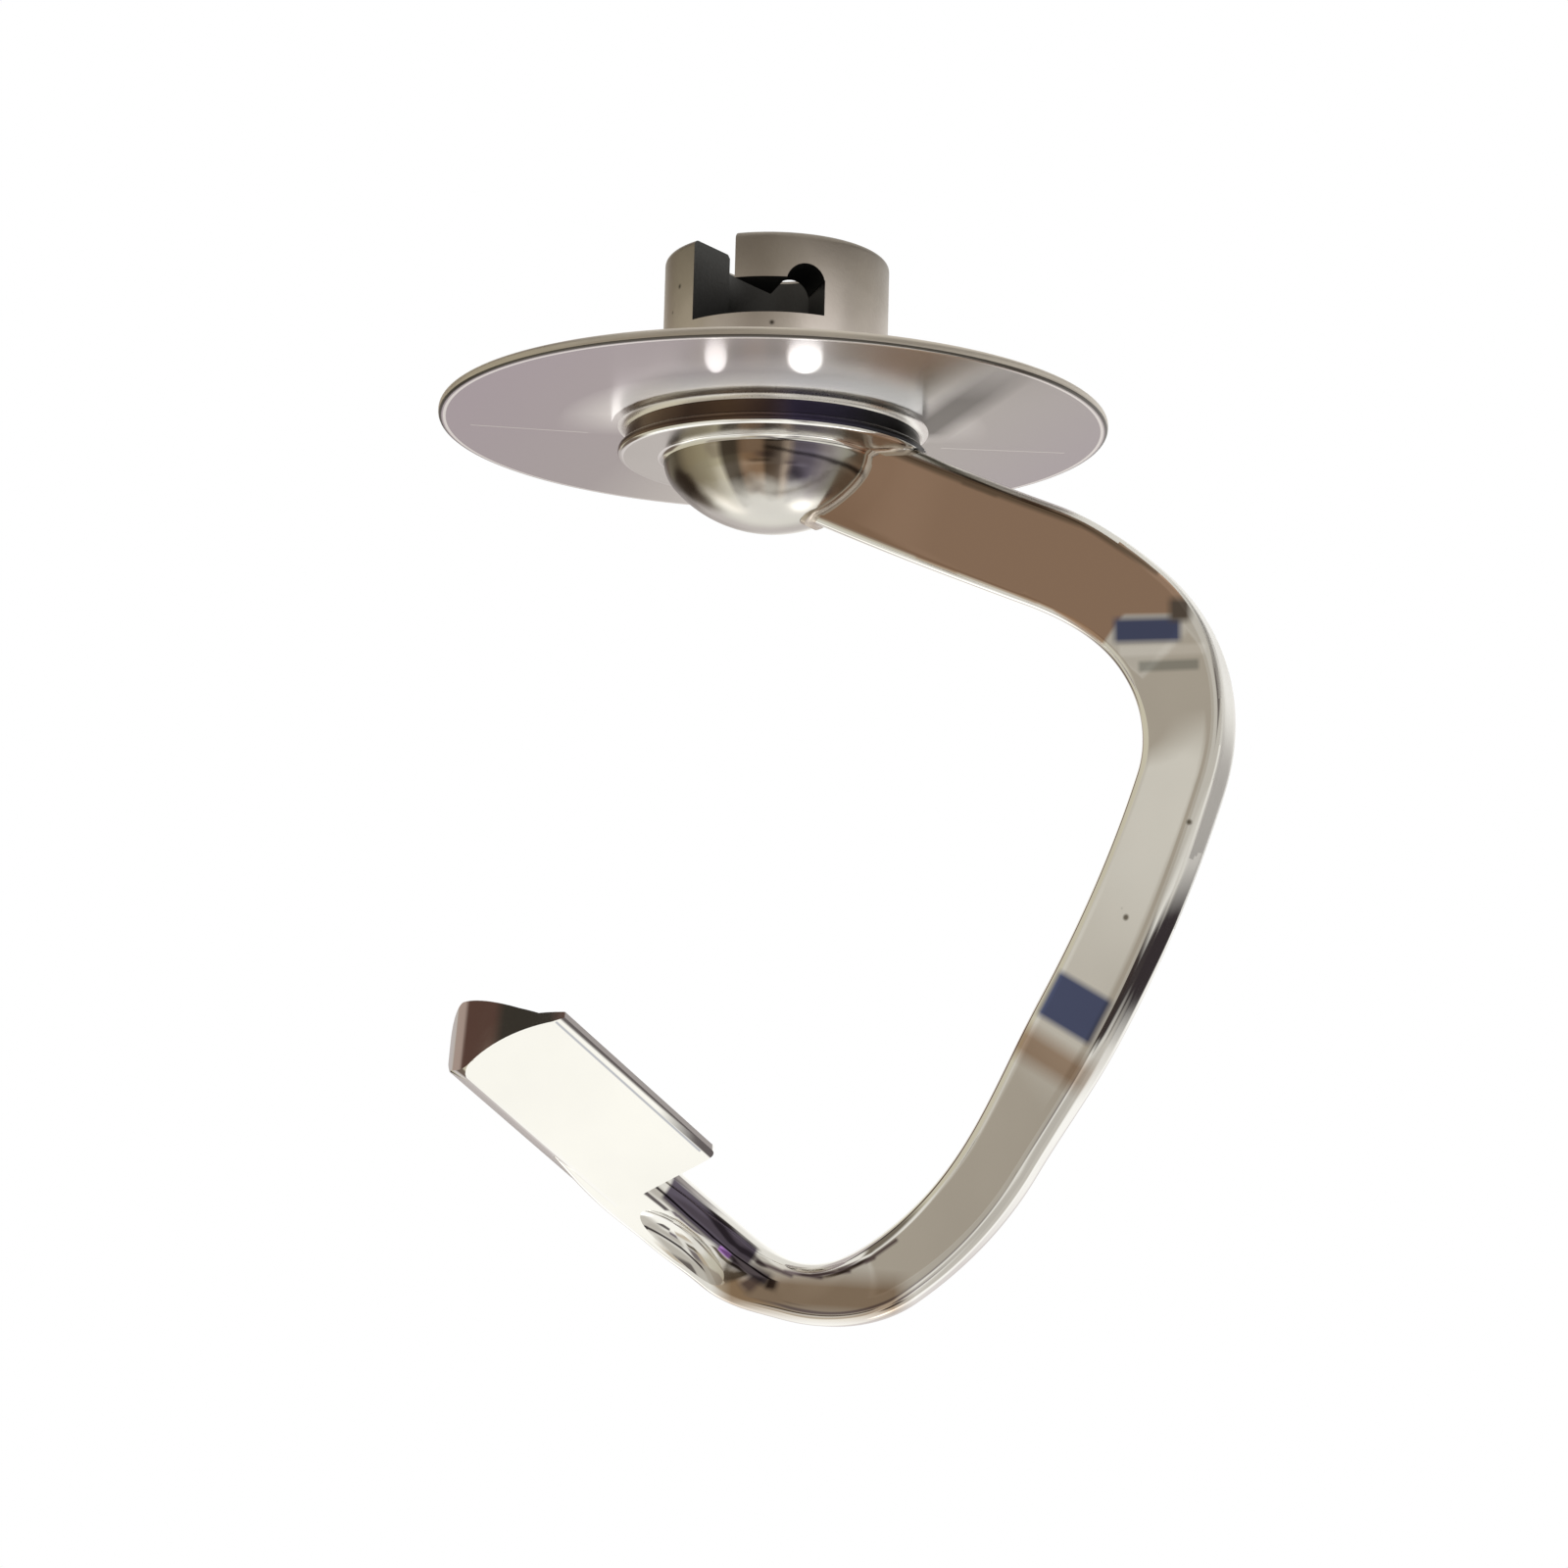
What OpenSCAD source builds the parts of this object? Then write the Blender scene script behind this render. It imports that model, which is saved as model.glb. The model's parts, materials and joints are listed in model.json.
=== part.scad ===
// Dough hook for a stand mixer, one casting.
// The origin sits on the drive axis in the mouth of the hub, +Z up the drive shaft.
// The hook opens to -X and its working face looks to -Y.

/* [Hub] */
// Outside diameter of the hub
hub_d = 27; // [25:0.5:32]
// Height of the hub above the shield
hub_h = 19.5; // [17:0.5:26]
// Bore for the drive shaft
bore_d = 13; // [12:0.1:14]
// Depth of the bore
bore_depth = 18; // [14:0.5:20]
// Rounding of the hub's rim
hub_round = 0.8; // [0.3:0.1:2]

/* [Pin slot] */
// Width of the slot for the drive pin
slot_w = 4.3; // [4.2:0.1:5]
// Width of the open entry at the top
entry_w = 5.9; // [4.8:0.1:6]
// Level of the slot's floor under the rim
slot_floor = 9.9; // [9:0.1:12]
// Direction of the entry seen from above, from the front
entry_turn = -34; // [-45:1:-20]
// Direction of the seat seen from above, from the front
seat_turn = 15; // [5:1:25]
// How far the seat rises above the slot
seat_rise = 1.8; // [1:0.1:2.5]

/* [Shield and boss] */
// Diameter of the shield disc
shield_d = 80; // [60:1:90]
// Thickness of the shield disc
shield_t = 1.2; // [1:0.1:2.5]
// Diameter of the collar under the disc
collar_d = 37; // [34:0.5:44]
// Depth of the collar
collar_h = 3.8; // [3:0.1:5]
// Diameter of the domed boss
dome_d = 26; // [24:0.5:30]
// Depth of the domed boss below the collar
dome_h = 8.5; // [7:0.1:10]

/* [Hook] */
// Width of the bar where it leaves the boss
bar_w = 12.5; // [11:0.1:14]
// Thickness of the bar
bar_t = 5.5; // [5:0.1:6.5]
// Scale of the hook's reach
reach = 1; // [0.8:0.01:1.1]

/* [Blade] */
// Width of the blade's flat face
blade_w = 14.4; // [12:0.1:16]
// Length of the blade
blade_l = 29; // [20:0.5:32]
// Depth of the blade's heel
blade_t = 13.2; // [9:0.1:13.8]

/* [Hidden] */
metal = [0.80, 0.80, 0.79];

shield_top = -hub_h;
shield_low = shield_top - shield_t;
collar_low = shield_low - collar_h;

// Bend table of the hook, from the boss to the blade. Each row is one stretch:
// length, turn in the plane of the hook, then at its end the lean to the front,
// width, thickness, corner radius, roll of the working face to the inside and
// corner radius at the outer edge of that face.
root = [0, 0, 12, bar_w, bar_t, 1.2, 12, 1.2];
bends = [
    [30.5, -4.2, 10, bar_w - 0.3, bar_t, 1.2, 12, 1.2],
    [12.5, 18.7, 1, bar_w - 1.1, bar_t, 1.3, 16, 1.3],
    [22.5, 66.5, -8, bar_w - 2.3, bar_t, 1.5, 36, 1.5],
    [29.8, 10.5, -13, bar_w - 2.1, bar_t, 1.6, 29, 1.6],
    [18.5, 2.5, -14, bar_w - 3.7, bar_t, 1.7, 21, 1.7],
    [19, 25, -11, bar_w - 3.9, bar_t, 1.9, 14, 1.9],
    [13, 49, -3, bar_w - 5.6, bar_t + 0.3, 2.4, -5, 2.2],
    [8.5, 25, 10, bar_w - 4.4, bar_t + 0.5, 2.6, -30, 1.6],
    [8, 0, 26, bar_w - 4.5, bar_t + 0.9, 2.7, -36, 0.9],
    [8, 0, 37.5, bar_w - 4.5, bar_t + 1.5, 2.8, -36.5, 0.8],
    [18, 0, 37.5, bar_w - 6.5, bar_t + 0.5, 2.4, -36.5, 1.2],
];
first_heading = 25.5;
first_point = [4.2, -1.5, shield_low - 4.2];
// Length of one step along the bar and number of chords in one rounded corner
step = 2;
corner_steps = 3;

function ease(u) = u * u * (3 - 2 * u);
function mix(a, b, u) = a + (b - a) * u;
function row_before(k) = k == 0 ? root : bends[k - 1];
function heading(k) = k == 0 ? first_heading : heading(k - 1) + bends[k - 1][1];
function steps_in(k) = ceil(bends[k][0] / step);
// Heading, then the other columns at the share u of stretch k
function state(k, u) = concat(
    heading(k) + bends[k][1] * u,
    [for (c = [2 : 7]) mix(row_before(k)[c], bends[k][c], ease(u))]
);
function along(s) = [cos(s[0]) * cos(s[1]), -sin(s[1]), -sin(s[0]) * cos(s[1])];
function inward(s) = [-sin(s[0]), 0, -cos(s[0])];
// Working face and inner edge of the bar after its roll
function face_dir(s) = let (i = inward(s), f = cross(i, along(s))) f * cos(s[5]) + i * sin(s[5]);
function edge_dir(s) = let (i = inward(s), f = cross(i, along(s))) i * cos(s[5]) - f * sin(s[5]);

// Every step of the bend table, then the points they lead to
walk = [for (k = [0 : len(bends) - 1]) for (i = [0 : steps_in(k) - 1])
    [state(k, (i + 0.5) / steps_in(k)), bends[k][0] / steps_in(k), state(k, (i + 1) / steps_in(k))]];
centres = [for (i = 0, p = first_point; i <= len(walk);
    p = i < len(walk) ? p + reach * walk[i][1] * along(walk[i][0]) : p, i = i + 1) p];
states = concat([state(0, 0)], [for (w = walk) w[2]]);

function corner_arc(x, y, r, from) =
    [for (i = [0 : corner_steps]) [x, y] + r * [cos(from + 90 * i / corner_steps), sin(from + 90 * i / corner_steps)]];
function bar_section(w, t, r, outer) = let (x = w / 2 - r, y = t / 2 - r) concat(
    corner_arc(x, y, r, 0), corner_arc(outer - w / 2, t / 2 - outer, outer, 90),
    corner_arc(-x, -y, r, 180), corner_arc(x, -y, r, 270));
function placed(p, s) = [for (q = bar_section(s[2], s[3], s[4], s[6]))
    p + q[0] * edge_dir(s) + q[1] * face_dir(s)];

ring = 4 * (corner_steps + 1);
last = len(states) - 1;
blade_row = len(bends) - 1;
blade_state = state(blade_row, 0);
blade_start = len(states) - 1 - steps_in(blade_row);
// Where the bar's middle lies in the blade, across, in depth and along
bar_in_blade = [2, 3.7, 0.4];
// Scoop in the neck: steps back from the blade, place beside the bar's middle to the
// outside, radius, round edge and depth
scoop_back = 5;
scoop_side = 0.3;
scoop_r = 11.8;
scoop_nose = 2.4;
scoop_depth = 1.3;

module bar() {
    points = [for (i = [0 : last]) each placed(centres[i], states[i])];
    sides = [for (i = [0 : last - 1]) for (j = [0 : ring - 1])
        let (a = i * ring + j, b = i * ring + (j + 1) % ring) each [[a, b, b + ring], [a, b + ring, a + ring]]];
    caps = [[for (j = [ring - 1 : -1 : 0]) j], [for (j = [0 : ring - 1]) last * ring + j]];
    polyhedron(points, concat(sides, caps));
}

// Scoop in the bar's face in front of the blade, as a wheel with a round edge cuts it
module neck_scoop() {
    at = blade_start - scoop_back;
    e = edge_dir(states[at]);
    f = face_dir(states[at]);
    t = along(states[at]);
    p = centres[at] - scoop_side * e + (states[at][3] / 2 - scoop_depth + scoop_r) * f;
    multmatrix([
        [t[0], f[0], e[0], p[0]],
        [t[1], f[1], e[1], p[1]],
        [t[2], f[2], e[2], p[2]],
        [0, 0, 0, 1]
    ]) rotate_extrude($fn = 72) translate([scoop_r - scoop_nose, 0]) circle(r = scoop_nose, $fn = 32);
}

// Section of the blade: flat face along x, depth behind it along y. The side of the
// heel flares away from the face to a round back.
heel_r = 3.3;
heel = [-3.4, blade_t - heel_r];
module blade_profile() {
    land = 1.3;
    function heel_point(a) = heel + heel_r * [cos(a), sin(a)];
    polygon(concat(
        [[0.4, 0], [blade_w - land, 0], [blade_w, 0.3], [blade_w, 1.2]],
        [[blade_w - 2.9, 1.9], [blade_w - 5.4, 3.8]],
        [for (a = [50 : 10 : 200]) heel_point(a)],
        [[heel[0] - 0.7, 4.2], [-0.75, 0.5], [-0.3, 0.15]]
    ));
}

// Room that the blade fills: a bowed end, its corner rounded by a flaring cone, and
// a small rounding where the thin edge starts
module blade_room() {
    bow_r = 18;
    corner = [2.3, blade_l - 3.2];
    corner_r = 2.6;
    flare = 0.85;
    deep = blade_t + 1;
    start_r = 0.7;
    intersection() {
        translate([6.5, -1, blade_l - bow_r]) rotate([-90, 0, 0]) cylinder(r = bow_r, h = deep + 1, $fn = 96);
        union() {
            translate([corner[0], 0, corner[1]]) rotate([-90, 0, 0])
                cylinder(r1 = corner_r, r2 = corner_r + flare * deep, h = deep, $fn = 64);
            translate([-20, -1, -1]) cube([40, deep + 1, corner[1] + 1]);
            translate([corner[0], -1, -1]) cube([20, deep + 1, blade_l + 2]);
        }
        union() {
            translate([-20, -1, -1]) cube([20 + blade_w - start_r, deep + 1, blade_l + 2]);
            translate([0, -1, start_r]) cube([20, deep + 1, blade_l + 2]);
            translate([blade_w - start_r, -1, start_r]) rotate([-90, 0, 0])
                cylinder(r = start_r, h = deep + 1, $fn = 32);
        }
    }
}

module blade() {
    e = edge_dir(blade_state);
    f = face_dir(blade_state);
    t = along(blade_state);
    p = centres[blade_start] - bar_in_blade[0] * e + bar_in_blade[1] * f - bar_in_blade[2] * t;
    multmatrix([
        [e[0], -f[0], t[0], p[0]],
        [e[1], -f[1], t[1], p[1]],
        [e[2], -f[2], t[2], p[2]],
        [0, 0, 0, 1]
    ]) intersection() {
        linear_extrude(height = blade_l + 1) blade_profile();
        blade_room();
    }
}

module head_profile() {
    dome_r = dome_d / 2;
    // The dome is a shallow cap with a round shoulder
    shoulder = 5;
    k = ((dome_r - shoulder) * (dome_r - shoulder) - pow(dome_h - shoulder, 2)) / (2 * (dome_h - shoulder));
    cap_r = dome_h + k;
    split = atan2(k, dome_r - shoulder);
    lip = 0.7;
    cove = 1;
    rim = shield_t / 2 - 0.1;
    function arc(x, y, r, a, b, n) = [for (i = [0 : n]) [x + r * cos(mix(a, b, i / n)), y + r * sin(mix(a, b, i / n))]];
    polygon(concat(
        [[0, collar_low - dome_h]],
        [for (i = [1 : 7]) let (a = mix(-90, -split, i / 8)) [cap_r * cos(a), collar_low + k + cap_r * sin(a)]],
        arc(dome_r - shoulder, collar_low, shoulder, -split, -8, 6),
        arc(dome_r + 0.7, collar_low - 0.7, 0.7, 172, 90, 4),
        arc(collar_d / 2 - lip, collar_low + lip, lip, -90, 90, 6),
        arc(collar_d / 2 - lip - 0.2 + cove, shield_low - cove, cove, 180, 90, 4),
        arc(shield_d / 2 - rim, shield_low + rim, rim, -90, 0, 4),
        arc(shield_d / 2 - rim, shield_top - rim, rim, 0, 90, 4),
        arc(hub_d / 2 + cove, shield_top + cove, cove, 270, 180, 4),
        arc(hub_d / 2 - hub_round, -hub_round, hub_round, 0, 90, 4),
        [[bore_d / 2 + 0.4, 0], [bore_d / 2, -0.4], [bore_d / 2, -bore_depth], [0, -bore_depth - 1.5]]
    ));
}

// Slot for the drive pin. Its run is a wedge in plan, from the far wall of the entry to
// that of the seat. The entry and the seat rise out of it, cut a little narrower.
module pin_slot() {
    far = hub_d / 2 + 3;
    seat_r = slot_w / 2 + 0.2;
    vault = slot_w + seat_rise - seat_r;
    ledge = 0.06;
    function plan(turn, out, side) = out * [sin(turn), -cos(turn)] + side * [cos(turn), sin(turn)];
    translate([0, 0, -slot_floor]) {
        linear_extrude(height = slot_w) polygon([
            plan(entry_turn, 0, -entry_w / 2), plan(entry_turn, far, -entry_w / 2),
            plan((entry_turn + seat_turn) / 2, 2 * far, 0),
            plan(seat_turn, far, seat_r), plan(seat_turn, 0, seat_r)]);
        rotate([0, 0, entry_turn - 90]) translate([0, ledge - entry_w / 2, 1])
            cube([far, entry_w - 2 * ledge, slot_floor + 1]);
        rotate([0, 0, seat_turn - 90]) {
            translate([0, ledge - seat_r, 1]) cube([far, 2 * (seat_r - ledge), vault - 1]);
            translate([0, 0, vault]) rotate([0, 90, 0]) cylinder(r = seat_r - ledge, h = far, $fn = 48);
        }
    }
}

module dough_hook() {
    color(metal) union() {
        difference() {
            rotate_extrude($fn = 128) head_profile();
            pin_slot();
        }
        difference() {
            union() {
                bar();
                blade();
            }
            neck_scoop();
        }
    }
}

dough_hook();
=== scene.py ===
# %% [markdown]
# # A dough hook in polished steel
# A dough hook for a stand mixer is one casting: a drive hub with a bayonet slot, a round
# shield that keeps flour out of the mixer's head, a domed boss, and a flat bar that sweeps
# round into a C and ends in a wedge blade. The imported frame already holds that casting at
# its real size. This lesson models it again with smooth faces and gives it its finishes.
# Everything here is in the frame's own axes, so nothing has to be fitted afterwards.

# %% Load the frame
import json
import math

import bmesh
import bpy
from mathutils import Matrix, Vector


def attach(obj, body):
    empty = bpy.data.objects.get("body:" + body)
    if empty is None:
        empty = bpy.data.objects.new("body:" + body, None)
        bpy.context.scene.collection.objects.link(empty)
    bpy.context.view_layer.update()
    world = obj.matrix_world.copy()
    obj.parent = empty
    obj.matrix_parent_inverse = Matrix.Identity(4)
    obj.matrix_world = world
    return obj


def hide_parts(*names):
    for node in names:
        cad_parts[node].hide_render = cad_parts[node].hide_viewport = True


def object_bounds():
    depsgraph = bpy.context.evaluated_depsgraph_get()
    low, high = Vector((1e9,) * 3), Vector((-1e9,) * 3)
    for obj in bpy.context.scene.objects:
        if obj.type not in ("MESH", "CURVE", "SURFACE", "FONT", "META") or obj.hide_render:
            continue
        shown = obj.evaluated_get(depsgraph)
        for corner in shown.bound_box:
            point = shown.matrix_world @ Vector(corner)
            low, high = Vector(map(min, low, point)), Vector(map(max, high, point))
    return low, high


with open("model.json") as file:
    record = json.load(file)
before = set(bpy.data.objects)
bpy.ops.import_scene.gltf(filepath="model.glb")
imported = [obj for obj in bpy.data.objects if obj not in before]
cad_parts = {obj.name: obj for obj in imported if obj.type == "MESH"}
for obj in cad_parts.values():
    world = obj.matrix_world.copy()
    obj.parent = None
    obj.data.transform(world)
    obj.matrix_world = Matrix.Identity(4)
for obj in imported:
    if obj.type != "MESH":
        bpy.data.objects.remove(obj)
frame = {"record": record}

MM = 0.001
cad_box = [list(corner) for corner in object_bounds()]
print("casting in the frame:", [[round(v / MM, 1) for v in corner] for corner in cad_box], "mm")

# %% [markdown]
# ## The camera
# A picture can only be compared with a photograph if both are taken from the same spot.
# The rim of the shield is a circle seen as an ellipse, and it gives away the camera's
# height, tilt and distance. The camera stands a little below the shield and looks up.

# %% Camera
camera_place = Vector((2.4, -436.7, -137.1)) * MM
camera_tilt = math.radians(9.565)
camera_roll = math.radians(1.475)
sensor_mm = 36
lens_mm = 86.24

ahead = Vector((0, math.cos(camera_tilt), math.sin(camera_tilt)))
level_right = Vector((1, 0, 0))
level_up = level_right.cross(ahead)
right = math.cos(camera_roll) * level_right + math.sin(camera_roll) * level_up
up = right.cross(ahead)

camera = bpy.data.objects.new("camera", bpy.data.cameras.new("camera"))
bpy.context.scene.collection.objects.link(camera)
camera.data.sensor_width = sensor_mm
camera.data.lens = lens_mm
turn = Matrix((right, up, -ahead)).transposed().to_4x4()
camera.matrix_world = Matrix.Translation(camera_place) @ turn
bpy.context.scene.camera = camera
print("camera looks up by", round(math.degrees(camera_tilt), 1), "degrees")

# %% [markdown]
# ## The head is turned
# Hub, shield, collar and dome share one axis, as if they had been turned on a lathe. So
# they are one outline of radius and height, spun round. Each flat stretch of the outline
# gets a point close to its ends: smooth shading then stays flat over the whole face, and
# the reflection in it doesn't swim.

# %% Driving sizes of the head, in millimetres
hub_d = 27
hub_h = 19.5
hub_round = 0.8
bore_d = 2 * frame["record"]["mounts"][0]["dims"]["r_mm"]
bore_depth = 18
shield_d = 2 * abs(cad_box[0][0]) / MM
shield_t = 1.2
collar_d = 37
collar_h = 3.8
dome_d = 26
dome_h = 8.5
dome_shoulder = 5
shield_top = -hub_h
shield_low = shield_top - shield_t
collar_low = shield_low - collar_h
print("shield", round(shield_d, 2), "mm across, underside at", round(shield_low, 2))


def mix(a, b, u):
    return a + (b - a) * u


def arc(x, y, r, start, end, chords):
    """Points of an arc round (x, y), angles in degrees."""
    angles = [math.radians(mix(start, end, i / chords)) for i in range(chords + 1)]
    return [(x + r * math.cos(a), y + r * math.sin(a)) for a in angles]


# %% Outline of the head
def head_outline():
    """Radius and height from the dome's lowest point up to the bottom of the bore."""
    r = dome_d / 2
    flat = r - dome_shoulder
    rise = dome_h - dome_shoulder
    k = (flat ** 2 - rise ** 2) / (2 * rise)
    cap_r = dome_h + k
    split = math.degrees(math.atan2(k, flat))
    lip = 0.7
    cove = 1.0
    rim = shield_t / 2 - 0.1
    fillet = 0.7
    near = 0.25
    cap = [p for p in arc(0, collar_low + k, cap_r, -90, -split, 14)][:-1]
    return (
        cap
        + arc(flat, collar_low, dome_shoulder, -split, -8, 14)
        + arc(r + fillet, collar_low - fillet, fillet, 172, 90, 8)
        + [(r + fillet + near, collar_low), (collar_d / 2 - lip - near, collar_low)]
        + arc(collar_d / 2 - lip, collar_low + lip, lip, -90, 90, 12)
        + arc(collar_d / 2 - lip - 0.2 + cove, shield_low - cove, cove, 180, 90, 8)
        + [(collar_d / 2 + 0.5, shield_low), (shield_d / 2 - rim - near, shield_low)]
        + arc(shield_d / 2 - rim, shield_low + rim, rim, -90, 0, 6)
        + arc(shield_d / 2 - rim, shield_top - rim, rim, 0, 90, 6)
        + [(shield_d / 2 - rim - near, shield_top), (hub_d / 2 + cove + near, shield_top)]
        + arc(hub_d / 2 + cove, shield_top + cove, cove, 270, 180, 8)
        + [(hub_d / 2, shield_top + cove + near), (hub_d / 2, -hub_round - near)]
        + arc(hub_d / 2 - hub_round, -hub_round, hub_round, 0, 90, 8)
        + [(hub_d / 2 - hub_round - near, 0), (bore_d / 2 + 0.4, 0), (bore_d / 2, -0.4)]
        + [(bore_d / 2, -bore_depth), (0, -bore_depth - 1.5)]
    )


def turned(name, outline, steps):
    """A closed solid of revolution about the drive axis."""
    bm = bmesh.new()
    verts = [bm.verts.new((r, 0, z)) for r, z in outline]
    edges = [bm.edges.new(pair) for pair in zip(verts, verts[1:])]
    bmesh.ops.spin(bm, geom=verts + edges, cent=(0, 0, 0), axis=(0, 0, 1), dvec=(0, 0, 0),
                   angle=2 * math.pi, steps=steps, use_merge=True, use_duplicate=False)
    return as_object(name, bm)


def as_object(name, bm):
    """The bmesh as an object in metres, with its doubles merged and its faces outwards."""
    bmesh.ops.remove_doubles(bm, verts=bm.verts, dist=0.001)
    bmesh.ops.recalc_face_normals(bm, faces=bm.faces)
    bmesh.ops.scale(bm, vec=(MM, MM, MM), verts=bm.verts)
    mesh = bpy.data.meshes.new(name)
    bm.to_mesh(mesh)
    bm.free()
    made = bpy.data.objects.new(name, mesh)
    bpy.context.scene.collection.objects.link(made)
    return made


head_steps = 160
head = turned("head", head_outline(), head_steps)
print("head:", len(head.data.polygons), "faces")

# %% [markdown]
# ## The bayonet slot
# The mixer's cross pin drops into an open entry, runs round the wall and rises into a
# vaulted seat. A mill would cut it in three passes, and three cutters do so here: a
# wedge in plan for the run, a block for the entry and an arched block for the seat.

# %% Cutters
slot_w = 4.3
entry_w = 5.9
slot_floor = 9.9
entry_turn = math.radians(-34)
seat_turn = math.radians(15)
seat_rise = 1.8
seat_r = slot_w / 2 + 0.2
far = hub_d / 2 + 3


def plan(turned_by, out, side):
    """A point in plan, out along a direction and to its side."""
    s, c = math.sin(turned_by), math.cos(turned_by)
    return (out * s + side * c, -out * c + side * s)


def prism(name, points, way):
    """The flat outline through the points, extruded along way."""
    bm = bmesh.new()
    verts = [bm.verts.new(p) for p in points]
    face = bm.faces.new(verts)
    out = bmesh.ops.extrude_face_region(bm, geom=[face])["geom"]
    bmesh.ops.translate(bm, vec=way, verts=[v for v in out if isinstance(v, bmesh.types.BMVert)])
    return as_object(name, bm)


middle = (entry_turn + seat_turn) / 2
run_plan = [plan(entry_turn, 0, -entry_w / 2), plan(entry_turn, far, -entry_w / 2),
            plan(middle, 2 * far, 0), plan(seat_turn, far, seat_r), plan(seat_turn, 0, seat_r)]
half = entry_w / 2
entry_plan = [plan(entry_turn, 0, -half), plan(entry_turn, far, -half),
              plan(entry_turn, far, half), plan(entry_turn, 0, half)]
vault = -slot_floor + slot_w + seat_rise - seat_r
seat_side = [(-seat_r, -slot_floor + 1), (seat_r, -slot_floor + 1)] + arc(0, vault, seat_r, 0, 180, 16)
seat_outline = [(*plan(seat_turn, 0, side), z) for side, z in seat_side]
cutters = [
    prism("run_cutter", [(x, y, -slot_floor) for x, y in run_plan], (0, 0, slot_w)),
    prism("entry_cutter", [(x, y, 1 - slot_floor) for x, y in entry_plan], (0, 0, slot_floor + 1)),
    prism("seat_cutter", seat_outline, (*plan(seat_turn, far, 0), 0)),
]


# %% Cut the slot
def combine(piece, other, operation):
    """Applies a Boolean to piece and takes the other object away."""
    mod = piece.modifiers.new("combine", "BOOLEAN")
    mod.object = other
    mod.operation = operation
    mod.solver = "EXACT"
    apply_modifiers(piece)
    bpy.data.objects.remove(other)


def apply_modifiers(piece):
    """Keeps what the modifiers make as the piece's own mesh."""
    graph = bpy.context.evaluated_depsgraph_get()
    mesh = bpy.data.meshes.new_from_object(piece.evaluated_get(graph))
    piece.modifiers.clear()
    piece.data = mesh


for cutter in cutters:
    combine(head, cutter, "DIFFERENCE")
print("head with its slot:", len(head.data.polygons), "faces")

# %% [markdown]
# ## The bar is bent
# The hook's bar follows a bend table, as a smith would write it: how far to go, how much
# to turn on the way, and how the section leans, shrinks and rolls by the end of the
# stretch. A ring of the rounded section is set every half millimetre along the way, and
# neighbouring rings are bridged. Towards the blade the outer edge of the working face
# grows sharp, as a flange that the blade's face runs out into.

# %% Bend table
bar_w = 12.5
bar_t = 5.5
first_heading = 25.5
first_point = Vector((4.2, -1.5, shield_low - 4.2))
root = (0, 0, 12, bar_w, bar_t, 1.2, 12, 1.2)
# length, turn, then at its end lean, width, thickness, corner radius, roll, outer corner
bends = [
    (30.5, -4.2, 10, bar_w - 0.3, bar_t, 1.2, 12, 1.2),
    (12.5, 18.7, 1, bar_w - 1.1, bar_t, 1.3, 16, 1.3),
    (22.5, 66.5, -8, bar_w - 2.3, bar_t, 1.5, 36, 1.5),
    (29.8, 10.5, -13, bar_w - 2.1, bar_t, 1.6, 29, 1.6),
    (18.5, 2.5, -14, bar_w - 3.7, bar_t, 1.7, 21, 1.7),
    (19, 25, -11, bar_w - 3.9, bar_t, 1.9, 14, 1.9),
    (13, 49, -3, bar_w - 5.6, bar_t + 0.3, 2.4, -5, 2.2),
    (8.5, 25, 10, bar_w - 4.4, bar_t + 0.5, 2.6, -30, 1.6),
    (8, 0, 26, bar_w - 4.5, bar_t + 0.9, 2.7, -36, 0.9),
    (8, 0, 37.5, bar_w - 4.5, bar_t + 1.5, 2.8, -36.5, 0.8),
    (18, 0, 37.5, bar_w - 6.5, bar_t + 0.5, 2.4, -36.5, 1.2),
]


# %% Walk along the table
class Station:
    """One place on the bar: its middle, its directions and its section."""

    def __init__(self, place, heading, lean, width, thickness, corner, roll, outer):
        h, l, a = map(math.radians, (heading, lean, roll))
        self.place = place
        self.along = Vector((math.cos(h) * math.cos(l), -math.sin(l), -math.sin(h) * math.cos(l)))
        inward = Vector((-math.sin(h), 0, -math.cos(h)))
        facing = inward.cross(self.along)
        self.face = facing * math.cos(a) + inward * math.sin(a)
        self.edge = inward * math.cos(a) - facing * math.sin(a)
        self.width, self.thickness, self.corner, self.outer = width, thickness, corner, outer


def stations_along(step):
    """Stations every step or less, and the number of the one where each row starts."""
    found, starts = [], []
    place, heading, before = first_point.copy(), first_heading, root
    for row in bends:
        count = math.ceil(row[0] / step)
        starts.append(max(len(found) - 1, 0))
        for i in range(count + 1):
            u = i / count
            eased = u * u * (3 - 2 * u)
            shape = [mix(a, b, eased) for a, b in zip(before[2:], row[2:])]
            here = Station(place, heading + row[1] * u, *shape)
            if i > 0 or not found:
                found.append(here)
            if i < count:
                u = (i + 0.5) / count
                eased = u * u * (3 - 2 * u)
                shape = [mix(a, b, eased) for a, b in zip(before[2:], row[2:])]
                way = Station(place, heading + row[1] * u, *shape).along
                place = place + way * (row[0] / count)
        heading += row[1]
        before = row
    return found, starts


bar_step = 0.5
stations, row_starts = stations_along(bar_step)
print("bar:", len(stations), "rings over", round(sum(row[0] for row in bends), 1), "mm")


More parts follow.
